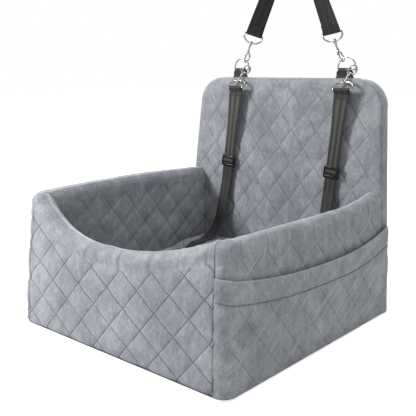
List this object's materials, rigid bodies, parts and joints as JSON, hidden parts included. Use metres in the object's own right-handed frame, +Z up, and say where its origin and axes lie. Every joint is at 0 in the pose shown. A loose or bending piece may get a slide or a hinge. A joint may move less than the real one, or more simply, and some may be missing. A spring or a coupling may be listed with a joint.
{
  "type": "dog car seat",
  "caption": "Quilted velvet booster seat for a dog: padded box with a cushion, tall backrest, headrest strap, sliding tethers with snap hooks and a side pocket.",
  "frame": {"origin": "on the ground under the middle of the box (the walls and backrest, without the pocket)", "axes": "+Z up; +Y from the low entry wall to the backrest; +X to the right of someone who faces the entry, on the pocket's side"},
  "size_m": [0.542, 0.578, 0.7811],
  "materials": {
    "grey_velvet": "crushed velvet, quilted",
    "foam": "open-cell foam",
    "base_cloth": "non-slip base cloth",
    "black_webbing": "woven webbing",
    "nickel_steel": "nickel plated",
    "black_plastic": "moulded",
    "zip_tape": "woven tape",
    "zip_chain": "nylon coil"
  },
  "bodies": {
    "root": {"base_board": "foam", "base_cloth": "base_cloth", "cover_backrest": "grey_velvet", "cover_front": "grey_velvet", "cover_left": "grey_velvet", "cover_right": "grey_velvet", "cushion_cover": "grey_velvet", "cushion_foam": "foam", "d_ring_left": "nickel_steel", "d_ring_right": "nickel_steel", "foam_backrest": "foam", "foam_front": "foam", "foam_left": "foam", "foam_right": "foam", "headrest_strap": "black_webbing", "lead_hook_left_eye": "nickel_steel", "lead_hook_right_eye": "nickel_steel", "pocket_hem": "grey_velvet", "pocket_panel": "grey_velvet", "strap_hook_left_eye": "nickel_steel", "strap_hook_right_eye": "nickel_steel", "tab_left": "black_webbing", "tab_right": "black_webbing", "tether_hook_left_eye": "nickel_steel", "tether_hook_right_eye": "nickel_steel", "tether_left": "black_webbing", "tether_right": "black_webbing", "zip_chain": "zip_chain", "zip_tape_lower": "zip_tape", "zip_tape_upper": "zip_tape"},
    "strap_hook_left_claw": {"strap_hook_left_claw": "nickel_steel"},
    "strap_hook_left_gate": {"strap_hook_left_gate": "nickel_steel"},
    "strap_hook_right_claw": {"strap_hook_right_claw": "nickel_steel"},
    "strap_hook_right_gate": {"strap_hook_right_gate": "nickel_steel"},
    "tether_hook_left_claw": {"tether_hook_left_claw": "nickel_steel"},
    "tether_hook_left_gate": {"tether_hook_left_gate": "nickel_steel"},
    "tether_hook_right_claw": {"tether_hook_right_claw": "nickel_steel"},
    "tether_hook_right_gate": {"tether_hook_right_gate": "nickel_steel"},
    "lead_hook_left_claw": {"lead_hook_left_claw": "nickel_steel"},
    "lead_hook_left_gate": {"lead_hook_left_gate": "nickel_steel"},
    "lead_hook_right_claw": {"lead_hook_right_claw": "nickel_steel"},
    "lead_hook_right_gate": {"lead_hook_right_gate": "nickel_steel"},
    "buckle_left": {"buckle_left": "black_plastic"},
    "buckle_right": {"buckle_right": "black_plastic"},
    "zip_slider": {"zip_slider": "nickel_steel"},
    "zip_pull": {"zip_pull": "nickel_steel"}
  },
  "joints": [
    {"name": "strap_hook_left_swivel", "type": "hinge", "parent": "root", "child": "strap_hook_left_claw", "pos_m": [-0.10196, 0.26324, 0.55798], "axis": [-0.3653, -0.0665, -0.9285], "range_deg": [-15, 6]},
    {"name": "strap_hook_left_gate_hinge", "type": "hinge", "parent": "strap_hook_left_claw", "child": "strap_hook_left_gate", "pos_m": [-0.10943, 0.25968, 0.53899], "axis": [0.9306, 0, -0.3661], "range_deg": [0, 18], "stiffness_Nm_per_rad": 0.05, "springref_deg": -17.19},
    {"name": "strap_hook_right_swivel", "type": "hinge", "parent": "root", "child": "strap_hook_right_claw", "pos_m": [0.11809, 0.26315, 0.55671], "axis": [0.4375, -0.0643, -0.8969], "range_deg": [-6, 15]},
    {"name": "strap_hook_right_gate_hinge", "type": "hinge", "parent": "strap_hook_right_claw", "child": "strap_hook_right_gate", "pos_m": [0.12704, 0.25964, 0.53836], "axis": [0.8988, 0, 0.4384], "range_deg": [0, 18], "stiffness_Nm_per_rad": 0.05, "springref_deg": -17.19},
    {"name": "tether_hook_left_swivel", "type": "hinge", "parent": "root", "child": "tether_hook_left_claw", "pos_m": [-0.1152, 0.23757, 0.47657], "axis": [0, 0.6225, 0.7826], "range_deg": [-6, 20]},
    {"name": "tether_hook_left_gate_hinge", "type": "hinge", "parent": "tether_hook_left_claw", "child": "tether_hook_left_gate", "pos_m": [-0.11667, 0.24912, 0.49371], "axis": [-0.7453, 0.5218, -0.4151], "range_deg": [0, 14], "stiffness_Nm_per_rad": 0.05, "springref_deg": -17.19},
    {"name": "tether_hook_right_swivel", "type": "hinge", "parent": "root", "child": "tether_hook_right_claw", "pos_m": [0.1608, 0.23757, 0.47657], "axis": [0, 0.6225, 0.7826], "range_deg": [-6, 20]},
    {"name": "tether_hook_right_gate_hinge", "type": "hinge", "parent": "tether_hook_right_claw", "child": "tether_hook_right_gate", "pos_m": [0.15933, 0.24912, 0.49371], "axis": [-0.7453, 0.5218, -0.4151], "range_deg": [0, 14], "stiffness_Nm_per_rad": 0.05, "springref_deg": -17.19},
    {"name": "lead_hook_left_swivel", "type": "hinge", "parent": "root", "child": "lead_hook_left_claw", "pos_m": [-0.13327, 0.04675, 0.10043], "axis": [0.1502, -0.9886, 0.0138], "range_deg": [-7, 7]},
    {"name": "lead_hook_left_gate_hinge", "type": "hinge", "parent": "lead_hook_left_claw", "child": "lead_hook_left_gate", "pos_m": [-0.12801, 0.02671, 0.1008], "axis": [0.0397, -0.008, -0.9992], "range_deg": [0, 26], "stiffness_Nm_per_rad": 0.05, "springref_deg": -17.19},
    {"name": "lead_hook_right_swivel", "type": "hinge", "parent": "root", "child": "lead_hook_right_claw", "pos_m": [0.11281, 0.04574, 0.10117], "axis": [-0.1483, -0.9888, 0.0132], "range_deg": [-7, 7]},
    {"name": "lead_hook_right_gate_hinge", "type": "hinge", "parent": "lead_hook_right_claw", "child": "lead_hook_right_gate", "pos_m": [0.10758, 0.0257, 0.10151], "axis": [0.0319, 0.0086, 0.9995], "range_deg": [0, 26], "stiffness_Nm_per_rad": 0.05, "springref_deg": -17.19},
    {"name": "buckle_left_slide", "type": "slide", "parent": "root", "child": "buckle_left", "axis": [0.1163, 0.0046, 0.9932], "range_m": [-0.02, 0.08]},
    {"name": "buckle_right_slide", "type": "slide", "parent": "root", "child": "buckle_right", "axis": [0.1011, 0.0046, 0.9949], "range_m": [-0.02, 0.08]},
    {"name": "zip_slide", "type": "slide", "parent": "root", "child": "zip_slider", "axis": [1, 0, 0], "range_m": [0, 0.38]},
    {"name": "zip_pull_hinge", "type": "hinge", "parent": "zip_slider", "child": "zip_pull", "pos_m": [-0.1915, 0.27775, 0.07], "axis": [0, 0, -1], "range_deg": [0, 170]}
  ]
}
